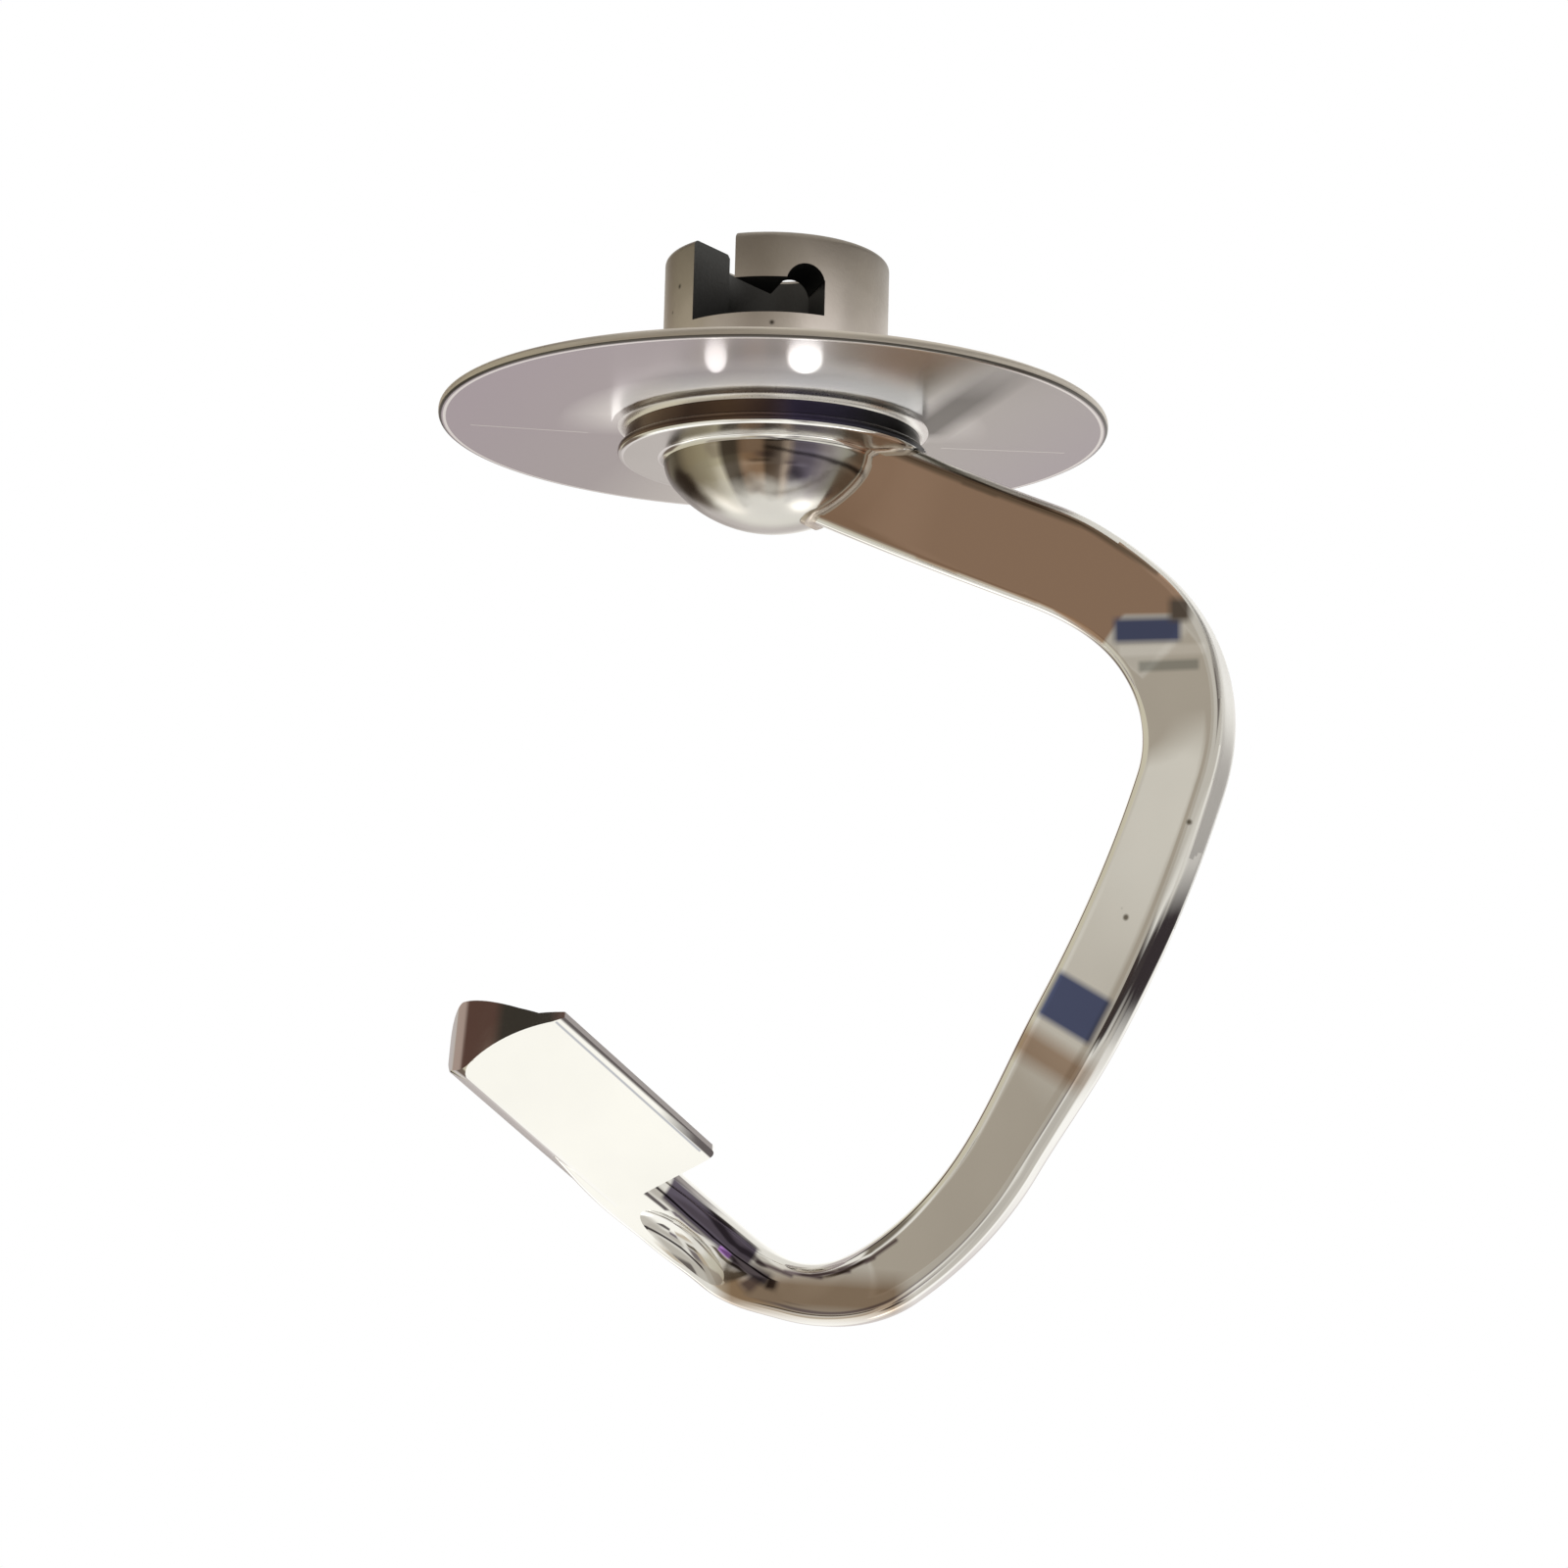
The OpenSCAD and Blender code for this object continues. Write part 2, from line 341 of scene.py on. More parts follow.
# %% One section
def section(station):
    """The rounded section as places and outward directions, both sideways and to the face."""
    w, t, r, outer = station.width / 2, station.thickness / 2, station.corner, station.outer
    corners = [(w - r, t - r, r, 0), (outer - w, t - outer, outer, 90),
               (r - w, r - t, r, 180), (w - r, r - t, r, 270)]
    flats = (12, 4, 12, 4)
    points = []
    for k, (x, y, radius, start) in enumerate(corners):
        for (px, py), (nx, ny) in zip(arc(x, y, radius, start, start + 90, 6), arc(0, 0, 1, start, start + 90, 6)):
            points.append(((px, py), (nx, ny)))
        (ax, ay), normal = points[-1]
        nx, ny, nr, nstart = corners[(k + 1) % 4]
        bx, by = arc(nx, ny, nr, nstart, nstart + 90, 1)[0]
        for i in range(1, flats[k] + 1):
            u = i / (flats[k] + 1)
            points.append(((mix(ax, bx, u), mix(ay, by, u)), normal))
    return points


# %% [markdown]
# ## A fillet at the root
# A casting has no sharp inner corners: the bar flares a little where it meets the dome and
# the collar. Each line along the bar is followed outwards from the point where it leaves
# the head. Its points are set at chosen gaps from the head, and a point nearer than the
# fillet's radius moves outwards by as much as a quarter circle asks at that gap.

# %% Gap between a point and the head
head_line = head_outline()


def gap_to_head(point):
    """Distance from a point to the head's outline, or 0 inside it."""
    r, z = math.hypot(point.x, point.y), point.z
    best, crossings = 99, 0
    for (ax, az), (bx, bz) in zip(head_line, head_line[1:]):
        length = (bx - ax) ** 2 + (bz - az) ** 2
        u = min(max(((r - ax) * (bx - ax) + (z - az) * (bz - az)) / length, 0), 1)
        best = min(best, math.hypot(r - mix(ax, bx, u), z - mix(az, bz, u)))
        if (az > z) != (bz > z) and r < mix(ax, bx, (z - az) / (bz - az)):
            crossings += 1
    return best if crossings % 2 == 0 else 0


# %% Lines along the bar
fillet_r = 0.7
fillet_gaps = (0, 0.02, 0.05, 0.1, 0.16, 0.23, 0.31, 0.42, 0.55, 0.7)
root_mm = 28
fine_step = 0.05
fine, fine_starts = stations_along(fine_step)


def spot(station, j):
    """Place and outward direction of point j of a station's section."""
    (x, y), (nx, ny) = section(station)[j]
    return station.place + x * station.edge + y * station.face, nx * station.edge + ny * station.face


def root_line(j):
    """Points of line j from inside the head to the end of the root."""
    spots = [spot(station, j) for station in fine[:round(root_mm / fine_step) + 1]]
    gaps = [gap_to_head(place) for place, out in spots]
    inside = max(i for i, gap in enumerate(gaps[:-40]) if gap == 0)
    line = [spots[inside // 2][0], spots[inside - 12][0] + fillet_r * spots[inside - 12][1]]
    at = inside
    for gap in fillet_gaps:
        while gaps[at] < gap:
            at += 1
        place, out = spots[at]
        line.append(place + out * (fillet_r - math.sqrt(fillet_r ** 2 - (fillet_r - gap) ** 2)))
    rest = 8
    for i in range(1, rest + 1):
        line.append(spots[round(mix(at, len(spots) - 1, i / rest))][0])
    return line


# %% Ring by ring
def ring(bm, points):
    """A closed ring of edges through the points."""
    verts = bmesh.ops.create_circle(bm, segments=len(points), radius=1)["verts"]
    for vert, point in zip(verts, points):
        vert.co = point
    return list({edge for vert in verts for edge in vert.link_edges})


def lofted(name, rings):
    """A closed solid through rings of points, all of one count."""
    bm = bmesh.new()
    loops = [ring(bm, points) for points in rings]
    for one, two in zip(loops, loops[1:]):
        bmesh.ops.bridge_loops(bm, edges=one + two)
    for end in (loops[0], loops[-1]):
        bmesh.ops.edgeloop_fill(bm, edges=end)
    return as_object(name, bm)


ring_points = len(section(stations[0]))
root_rings = list(zip(*[root_line(j) for j in range(ring_points)]))
root_rings.insert(0, [spot(fine[0], j)[0] for j in range(ring_points)])
bar_rings = [[spot(s, j)[0] for j in range(ring_points)] for s in stations[round(root_mm / bar_step) + 1:]]
bar = lofted("bar", root_rings + bar_rings)
print("bar:", len(bar.data.polygons), "faces, flared over", fillet_r, "mm at its root")

# %% [markdown]
# ## The blade
# The bar ends in a blade: a flat face in front, a thin edge on one side and a deep round
# heel on the other. It is one outline extruded along the bar's last stretch, and its
# end is trimmed to a shallow bow with a rounded corner that flares towards the heel.

# %% Blade outline and frame
blade_w = 14.4
blade_l = 29
blade_t = 13.2
bar_in_blade = (2, 3.7, 0.4)
heel_r = 3.3
heel = (-3.4, blade_t - heel_r)
land = 1.3
bow_r = 18
tip_corner = (2.3, blade_l - 3.2)
tip_r = 2.6
tip_flare = 0.85
start_r = 0.7

blade_outline = (
    [(0.4, 0), (blade_w - land, 0), (blade_w, 0.3), (blade_w, 1.2)]
    + [(blade_w - 2.9, 1.9), (blade_w - 5.4, 3.8)]
    + arc(*heel, heel_r, 50, 200, 24)
    + [(heel[0] - 0.7, 4.2), (-0.75, 0.5), (-0.3, 0.15)]
)


def placed(axes, place):
    """The matrix that carries a piece made in its own axes to a place in the frame."""
    return Matrix.Translation(place * MM) @ Matrix(axes).transposed().to_4x4()


neck = stations[row_starts[-1]]
blade_corner = (neck.place - bar_in_blade[0] * neck.edge + bar_in_blade[1] * neck.face
                - bar_in_blade[2] * neck.along)
blade_frame = placed((neck.edge, -neck.face, neck.along), blade_corner)

# %% Model and trim the blade
blade = prism("blade", [(x, y, 0) for x, y in blade_outline], (0, 0, blade_l + 1))
deep = blade_t + 1


def cone(name, r1, r2, centre, chords):
    """A cone or cylinder along the blade's depth, from the plane of its face."""
    bm = bmesh.new()
    bmesh.ops.create_cone(bm, cap_ends=True, segments=chords, radius1=r1, radius2=r2, depth=deep + 1)
    bmesh.ops.rotate(bm, cent=(0, 0, 0), matrix=Matrix.Rotation(math.radians(-90), 3, "X"), verts=bm.verts)
    bmesh.ops.translate(bm, vec=(centre[0], (deep + 1) / 2 - 1, centre[1]), verts=bm.verts)
    return as_object(name, bm)


def block(name, low, high):
    bm = bmesh.new()
    bmesh.ops.create_cube(bm, size=1)
    low, high = Vector(low), Vector(high)
    bmesh.ops.scale(bm, vec=high - low, verts=bm.verts)
    bmesh.ops.translate(bm, vec=(low + high) / 2, verts=bm.verts)
    return as_object(name, bm)


bow = cone("bow", bow_r, bow_r, (6.5, blade_l - bow_r), 128)
room = cone("room", tip_r - tip_flare, tip_r + tip_flare * deep, tip_corner, 96)
combine(room, block("below", (-20, -2, -1), (20, deep + 1, tip_corner[1])), "UNION")
combine(room, block("beside", (tip_corner[0], -2, -1), (20, deep + 1, blade_l + 2)), "UNION")
edge_start = cone("edge_start", start_r, start_r, (blade_w - start_r, start_r), 32)
combine(edge_start, block("inner", (-20, -2, -1), (blade_w - start_r, deep + 1, blade_l + 2)), "UNION")
combine(edge_start, block("outer", (0, -2, start_r), (20, deep + 1, blade_l + 2)), "UNION")
for limit in (bow, room, edge_start):
    combine(blade, limit, "INTERSECT")
blade.data.transform(blade_frame)
print("blade:", len(blade.data.polygons), "faces")

# %% [markdown]
# ## The scoop in the neck
# In front of the blade the working face of the bar is hollowed, as a polishing wheel with
# a round edge would do it. The cutter is that wheel: a circle spun into a ring.

# %% Cut the scoop
scoop_back_mm = 10
scoop_side = 0.3
scoop_r = 11.8
scoop_nose = 2.4
scoop_depth = 1.3


def wheel(name, radius, nose):
    """A round-edged wheel about its own z axis."""
    bm = bmesh.new()
    bmesh.ops.create_circle(bm, segments=64, radius=nose)
    bmesh.ops.rotate(bm, cent=(0, 0, 0), matrix=Matrix.Rotation(math.radians(90), 3, "X"), verts=bm.verts)
    bmesh.ops.translate(bm, vec=(radius - nose, 0, 0), verts=bm.verts)
    bmesh.ops.spin(bm, geom=bm.verts[:] + bm.edges[:], cent=(0, 0, 0), axis=(0, 0, 1), dvec=(0, 0, 0),
                   angle=2 * math.pi, steps=256, use_merge=True, use_duplicate=False)
    return as_object(name, bm)


at = stations[row_starts[-1] - round(scoop_back_mm / bar_step)]
wheel_place = at.place - scoop_side * at.edge + (at.thickness / 2 - scoop_depth + scoop_r) * at.face
scoop = wheel("scoop", scoop_r, scoop_nose)
scoop.data.transform(placed((at.along, at.face, at.edge), wheel_place))

# %% [markdown]
# ## One casting
# The real hook has no joint, so the three solids are fused into one mesh. Edges stay sharp
# where faces meet at more than a modest angle. All else is shaded smooth, with the larger
# faces weighing more, so that a flat face stays flat up to its edge.

# %% Fuse
combine(bar, blade, "UNION")
combine(bar, scoop, "DIFFERENCE")
hook = head
hook.name = "dough_hook_casting"
combine(hook, bar, "UNION")
hook.data.polygons.foreach_set("use_smooth", [True] * len(hook.data.polygons))
hook.data.set_sharp_from_angle(angle=math.radians(24))
weigh = hook.modifiers.new("weigh", "WEIGHTED_NORMAL")
weigh.keep_sharp = True
weigh.weight = 80
apply_modifiers(hook)
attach(hook, "root")
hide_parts("dough_hook")
print("casting:", len(hook.data.polygons), "faces")


# %% [markdown]
# ## Wires for materials
# A material is a small program drawn as nodes. One class wraps a socket, so that a sum in
# Python adds the Math nodes for it, and one method adds any other node.

# %% A wire
class Wire:
    """A socket of a node tree. Sums on it add Math nodes, and node() adds any other."""

    def __init__(self, tree, socket=None):
        self.tree = tree
        self.socket = socket

    def node(self, kind, settings=None, inputs=None, output=0):
        made = self.tree.nodes.new("ShaderNode" + kind)
        for name, value in (settings or {}).items():
            if name == "stops":
                for stop, (place, colour) in zip(stops_of(made, len(value)), value):
                    stop.position = place
                    stop.color = colour
            else:
                setattr(made, name, value)
        for name, value in (inputs or {}).items():
            if isinstance(value, Wire):
                self.tree.links.new(value.socket, made.inputs[name])
            else:
                made.inputs[name].default_value = value
        return Wire(self.tree, made.outputs[output])

    def math(self, operation, *values):
        return self.node("Math", {"operation": operation}, dict(enumerate(values)))

    def __add__(self, other):
        return self.math("ADD", self, other)

    def __radd__(self, other):
        return self.math("ADD", other, self)

    def __sub__(self, other):
        return self.math("SUBTRACT", self, other)

    def __rsub__(self, other):
        return self.math("SUBTRACT", other, self)

    def __mul__(self, other):
        return self.math("MULTIPLY", self, other)

    def __rmul__(self, other):
        return self.math("MULTIPLY", other, self)

    def __truediv__(self, other):
        return self.math("DIVIDE", self, other)

    def __abs__(self):
        return self.math("ABSOLUTE", self)

    def clamped(self):
        return self.node("Clamp", inputs={"Value": self})

    def mixed(self, one, two):
        """Colour one where this wire is 0 and colour two where it is 1."""
        return self.node("Mix", {"data_type": "RGBA"}, {0: self, 6: one, 7: two}, output=2)


def stops_of(ramp, count):
    """The stops of a colour ramp, brought to a count."""
    stops = ramp.color_ramp.elements
    while len(stops) < count:
        stops.new(1)
    return stops


def paint(r, g, b):
    """A colour named by its 0 to 255 screen values, in the linear values that nodes take."""
    return (*[(v / 255 / 12.92) if v <= 10 else ((v / 255 + 0.055) / 1.055) ** 2.4 for v in (r, g, b)], 1)


def new_material(name):
    """An empty material and a wire to add nodes from."""
    material = bpy.data.materials.new(name)
    material.use_nodes = True
    material.node_tree.nodes.clear()
    return material, Wire(material.node_tree)


def shown(wire, surface):
    """Links a shader to the material's output."""
    wire.node_out = wire.tree.nodes.new("ShaderNodeOutputMaterial")
    wire.tree.links.new(surface.socket, wire.node_out.inputs["Surface"])


# %% [markdown]
# ## Finishes
# The hook is steel all over, and what differs is how it was finished. The bar, dome and
# blade are buffed to a mirror that is a little uneven, and carry painted reflections in
# their colour; the dome's steel is also painted darker, as shade. The shield is satin
# underneath and ground dull round its rim, with painted reflections on the satin and a
# painted shade line on the rim's lower rounding. The collar's bead and wall carry a painted
# dark reflection, and the hub keeps the brown skin of the casting, with painted shade inside
# its bore and slot.

# %% Steel
def steel(name, tint, rough, uneven, grain, depth, stain=0.93, cloud_scale=60, stains_and_painted_light=None):
    """Bare steel. Grain is the number of specks in a millimetre, depth that of its bump in mm."""
    material, w = new_material(name)
    at = w.node("TexCoord", output=3)
    cloud = w.node("TexNoise", inputs={"Vector": at, "Scale": cloud_scale, "Detail": 3})
    specks = w.node("TexNoise", inputs={"Vector": at, "Scale": grain / MM, "Detail": 4})
    spread = ((cloud - 0.5) * 2.5 + 0.5).clamped()
    colour = spread.mixed(tuple(v * stain for v in tint) + (1,), (*tint, 1))
    # Laid on by the finish's own function: pits, scratches and tones, and painted reflections, highlights and shade.
    if stains_and_painted_light:
        colour = stains_and_painted_light(w, at, colour)
    roughness = rough + (cloud - 0.5) * uneven + (specks - 0.5) * uneven
    bump = w.node("Bump", inputs={"Height": specks, "Strength": 1.0, "Distance": depth * MM})
    surface = w.node("BsdfPrincipled", inputs={
        "Base Color": colour, "Metallic": 1.0, "Roughness": roughness.clamped(), "Normal": bump})
    shown(w, surface)
    return material


# %% [markdown]
# Painted reflections: soft upright bands on the front of the dome, and a dark reflection on
# the collar's bead and wall from brown to navy. A colour ramp lays them out by the angle
# round the drive axis.

# %% Painted reflections round the axis
# angle from the front to the right, colour of the steel
dome_reflection_bands = [(-62, (0.10, 0.08, 0.06)), (-52, (0.30, 0.26, 0.20)), (-38, (0.44, 0.40, 0.32)), (-31, (0.62, 0.58, 0.48)),
              (-27, (0.12, 0.10, 0.08)), (-20, (0.11, 0.09, 0.07)), (-16, (0.34, 0.24, 0.17)), (-6, (0.33, 0.23, 0.16)),
              (-3, (0.11, 0.08, 0.06)), (4, (0.13, 0.10, 0.08)), (8, (0.42, 0.34, 0.28)), (13, (0.16, 0.14, 0.18)),
              (22, (0.18, 0.16, 0.21)), (30, (0.34, 0.31, 0.34)), (42, (0.32, 0.31, 0.27)), (70, (0.30, 0.28, 0.25))]
# Painted dark reflection on the collar's bead and wall, brown to navy round the axis.
bead_reflection_bands = [(-100, (0.20, 0.15, 0.11)), (-55, (0.16, 0.11, 0.08)), (-34, (0.09, 0.06, 0.05)), (-18, (0.15, 0.10, 0.07)),
              (-4, (0.12, 0.08, 0.07)), (8, (0.06, 0.05, 0.10)), (24, (0.05, 0.045, 0.08)), (40, (0.03, 0.03, 0.035)),
              (80, (0.035, 0.035, 0.04)), (120, (0.10, 0.09, 0.09))]


def by_angle(w, at, bands):
    """The bands' colours laid out by the angle round the drive axis."""
    x, y = (w.node("SeparateXYZ", inputs={0: at}, output=i) for i in range(2))
    turn = w.math("ARCTAN2", x, y * -1) * (0.5 / math.pi) + 0.5
    stops = [(angle / 360 + 0.5, (*shade, 1)) for angle, shade in bands]
    return w.node("ValToRGB", {"stops": stops}, {"Fac": turn})


def spots(w, at, places):
    """1 inside any of the small round marks, given as x, y, z and size in mm."""
    found = 0
    for x, y, z, size in places:
        gap = w.node("VectorMath", {"operation": "DISTANCE"}, {0: at, 1: Vector((x, y, z)) * MM}, output=1)
        found = ((size - gap / MM) / 0.3 + 0.5).clamped() + found
    return found.clamped()


def pitted(places, dark):
    def stain(w, at, colour):
        return spots(w, at, places).mixed(colour, dark)
    return stain


def shield_painted_reflections(w, at, colour):
    """Painted reflection tones across the satin, painted light near the collar, the arm's painted dark reflection as a
    streak from the collar's right, a painted highlight round the shield's edge, and two scratches.
    """
    x, y = (w.node("SeparateXYZ", inputs={0: at}, output=i) / MM for i in range(2))
    # Painted reflection tones across the satin, from left to right.
    hues = [(-40, (0.44, 0.38, 0.42)), (-14, (0.44, 0.40, 0.40)), (-4, (0.58, 0.55, 0.52)), (8, (0.74, 0.72, 0.68)),
            (15, (0.80, 0.80, 0.77)), (20, (0.48, 0.46, 0.43)), (40, (0.44, 0.40, 0.42))]
    bent = x + y * 0.33
    stops = [((place + 42) / 84, (*shade, 1)) for place, shade in hues]
    hue = w.node("ValToRGB", {"stops": stops}, {"Fac": (bent + 42) / 84})
    out = w.math("SQRT", x * x + y * y)
    # Painted light: lighter near the front of the collar.
    near_collar = ((26 - out) / 7).clamped() * ((4 - y) / 10).clamped()
    hue = near_collar.mixed(hue, (0.92, 0.90, 0.87, 1))
    # Painted reflection of the arm: a dark streak from the collar's right.
    off = abs(x - 17.4 + y * 0.32)
    streak = ((3.4 - off) / 3 + 0.3).clamped() * ((y + 34) / 18).clamped() * ((3 - y) / 4).clamped()
    hue = streak.mixed(hue, (0.12, 0.11, 0.09, 1))
    # Painted highlight: a bright ring just inside the shield's edge.
    shine = ((out - 39.05) / 0.1).clamped() * ((39.5 - out) / 0.1).clamped()
    hue = shine.mixed(hue, (0.95, 0.93, 0.90, 1))
    left = abs(y - 6.4 - x * 0.157) + w.math("LESS_THAN", abs(x + 29.3), 7) * -1 + 1
    right_line = abs(y - 4.9 - x * 0.053) + w.math("LESS_THAN", abs(x - 27.9), 7.5) * -1 + 1
    scratch = ((0.16 - left) / 0.1).clamped() + ((0.16 - right_line) / 0.1).clamped()
    return scratch.clamped().mixed(hue, (0.75, 0.72, 0.68, 1))


def hub_tone_and_pits(w, at, colour):
    """Darker towards the mouth and lighter near the shield, with a few pits."""
    height = w.node("SeparateXYZ", inputs={0: at}, output=2) / MM
    cloud = w.node("TexNoise", inputs={"Vector": at, "Scale": 110, "Detail": 4})
    hues = [(-20, (0.84, 0.79, 0.75)), (-16, (0.76, 0.71, 0.67)), (-10, (0.54, 0.49, 0.45)), (-5, (0.38, 0.34, 0.30)),
            (0, (0.27, 0.24, 0.21))]
    stops = [((place + 20) / 20, (*shade, 1)) for place, shade in hues]
    hue = w.node("ValToRGB", {"stops": stops}, {"Fac": (height + 20) / 20 + (cloud - 0.5) * 0.4})
    return spots(w, at, hub_pits).mixed(hue, (0.08, 0.07, 0.06, 1))


hub_pits = [(-0.4, -13.5, -11.2, 0.25), (-11.5, -7.1, -5.2, 0.25), (-12.2, -5.6, -8, 0.15), (2.5, -13.2, -14.5, 0.2)]
bar_pits = [(49, -11.1, -68.6, 0.3), (42.2, -7.3, -79.3, 0.35), (41.6, -7.2, -78.2, 0.2), (44.5, -9, -60, 0.12)]


def dome_painted_reflections(w, at, colour):
    # Painted reflections: the dome's bands on its upper part, down to a ragged line.
    height = w.node("SeparateXYZ", inputs={0: at}, output=2) / MM
    ragged_edge = w.node("TexNoise", inputs={"Vector": at, "Scale": 260, "Detail": 2}) * 3
    mask = ((height + 28.6 + ragged_edge) / 2.4 + 0.5).clamped()
    return mask.mixed(colour, by_angle(w, at, dome_reflection_bands))


def bead_painted_reflection(w, at, colour):
    return by_angle(w, at, bead_reflection_bands)


def bar_spot(mm, across=0, deep=None, tip=0):
    """Place on the bar so many mm along it, and the normal there, tipped from face to edge."""
    s = stations[round(mm / bar_step)]
    deep = s.thickness / 2 if deep is None else deep
    tip = math.radians(tip)
    return s.place + across * s.edge + deep * s.face, math.cos(tip) * s.face + math.sin(tip) * s.edge, s.along


def with_painted_reflection(w, at, colour, shade, spot, normal, lead, length, width, soft=0.5):
    """Mixes a soft-edged painted reflection into the steel's colour round a spot, sizes in mm. Lead is its long way."""
    lead = (lead - lead.dot(normal) * normal).normalized()
    off = [w.node("VectorMath", {"operation": "DOT_PRODUCT"}, {0: at, 1: way / MM}, output=1) - spot.dot(way)
           for way in (lead, normal.cross(lead), normal)]
    inside = ((length / 2 - abs(off[0])) / soft).clamped() * ((width / 2 - abs(off[1])) / soft).clamped()
    inside = inside * (off[2] + 2.6).clamped() * (2.2 - off[2]).clamped()
    base = tuple(min(1, 0.86 * s / o) for s, o in zip(shade[:3], paint(166, 159, 146)[:3])) + (1,)
    return inside.mixed(colour, base)


upright = Vector((0, 0, 1))
# Painted reflections on the bar: brown on the arm, two navy bands, dark lines along the edges, a white highlight line,
# dark blots, a violet glint and dark dashes at the neck, and a grey line along the blade's edge. Each gives colour,
# spot, normal, long way, length, width and softness.
brown, navy = paint(125, 100, 79), paint(60, 63, 80)
bar_painted_reflections = (
    [(brown, *bar_spot(mm), length, 11.3) for mm, length in ((13, 20), (25, 16), (33, 14), (39.6, 7.4))]
    + [(brown, *bar_spot(43.6, -3)[:2], upright, 5.9, 8.8)]
    + [(paint(84, 68, 52), *bar_spot(mm, -5), length, 1.3) for mm, length in ((13, 22), (28, 18), (38.5, 11))]
    + [(navy, *bar_spot(46.7, 0.2)[:2], upright, 3.7, 8.6, 0.9),
       (paint(74, 64, 54), *bar_spot(47.0, -4.2)[:2], upright, 3.6, 3.4, 1),
       (paint(255, 252, 246), *bar_spot(49.3)[:2], upright, 1.7, 10.5),
       (paint(128, 124, 112), *bar_spot(51.4)[:2], upright, 1.7, 7.6),
       (navy, *bar_spot(94.5), 6.6, 8.8, 0.9),
       (paint(128, 108, 88), *bar_spot(101), 5.5, 12, 2),
       (paint(118, 100, 80), *bar_spot(143), 24, 7, 2.5),
       (paint(66, 58, 62), *bar_spot(160, 3.2, 1.8, 40), 14, 3.4),
       (paint(150, 104, 230), *bar_spot(155.5, 2.0, 2.9, 14), 2.0, 0.9, 0.3),
       (paint(56, 48, 46), *bar_spot(151.5, 1.6, 3.0, 2), 6, 2.4, 0.8)]
    + [(paint(84, 72, 68), *bar_spot(mm, 2.3, 2.8, 8), 5, 0.8, 0.35) for mm in (148.5, 144.5, 140.5, 136.5, 132.5)]
    + [(paint(120, 116, 112), blade_corner + (blade_w - land + 0.25) * neck.edge + blade_l / 2 * neck.along,
        neck.face, neck.along, blade_l - 3, 0.4, 0.15)]
)


def bar_reflections_and_pits(w, at, colour):
    """The painted reflections along the bar, and its few pits."""
    for tint in bar_painted_reflections:
        colour = with_painted_reflection(w, at, colour, *tint)
    return spots(w, at, bar_pits).mixed(colour, (0.2, 0.18, 0.15, 1))


# %% Which face has which finish
collar_r = collar_d / 2
rim_in = shield_d / 2 - shield_t / 2
bead_top = collar_low + 1.4


def on_bar(centre, out, normal):
    return True


def on_outer(centre, out, normal):
    return centre.z > -84 and centre.x > 16 and normal.z + normal.x > 0.4 and normal.y > -0.92


def on_fillet(centre, out, normal):
    return centre.z < collar_low - 0.02 and normal.y < 0.2 and out < 22 and 0.03 < gap_to_head(centre) < 0.66


def on_dome(centre, out, normal):
    return out < dome_d / 2 + 0.02 and centre.z < collar_low - 0.6 and gap_to_head(centre) < 0.03


def on_bead(centre, out, normal):
    return normal.z > -0.6 and collar_r - 1.2 < out < collar_r + 0.1 and collar_low < centre.z < shield_low - 0.85


def under_collar(centre, out, normal):
    return dome_d / 2 + 0.8 < out < collar_r - 0.75 and abs(centre.z - collar_low) < 0.01


def over_bead(centre, out, normal):
    return collar_r - 1.2 < out < collar_r + 0.15 and centre.z > shield_low - 0.85


def on_shield(centre, out, normal):
    return collar_r + 0.15 < out < shield_d / 2 + 1 and centre.z > bead_top + 0.02


def on_rim(centre, out, normal):
    return rim_in < out < shield_d / 2 + 1 and centre.z > shield_low - 0.05 and normal.z > -0.4


def under_rim(centre, out, normal):
    return rim_in < out < shield_d / 2 + 1 and centre.z > shield_low - 0.05 and -0.98 < normal.z < -0.4


def on_hub(centre, out, normal):
    return centre.z > shield_top + 0.05 and out < hub_d / 2 + 2


def in_hub(centre, out, normal):
    return centre.z > shield_top + 0.05 and out < hub_d / 2 - 0.05 and centre.z < -0.45


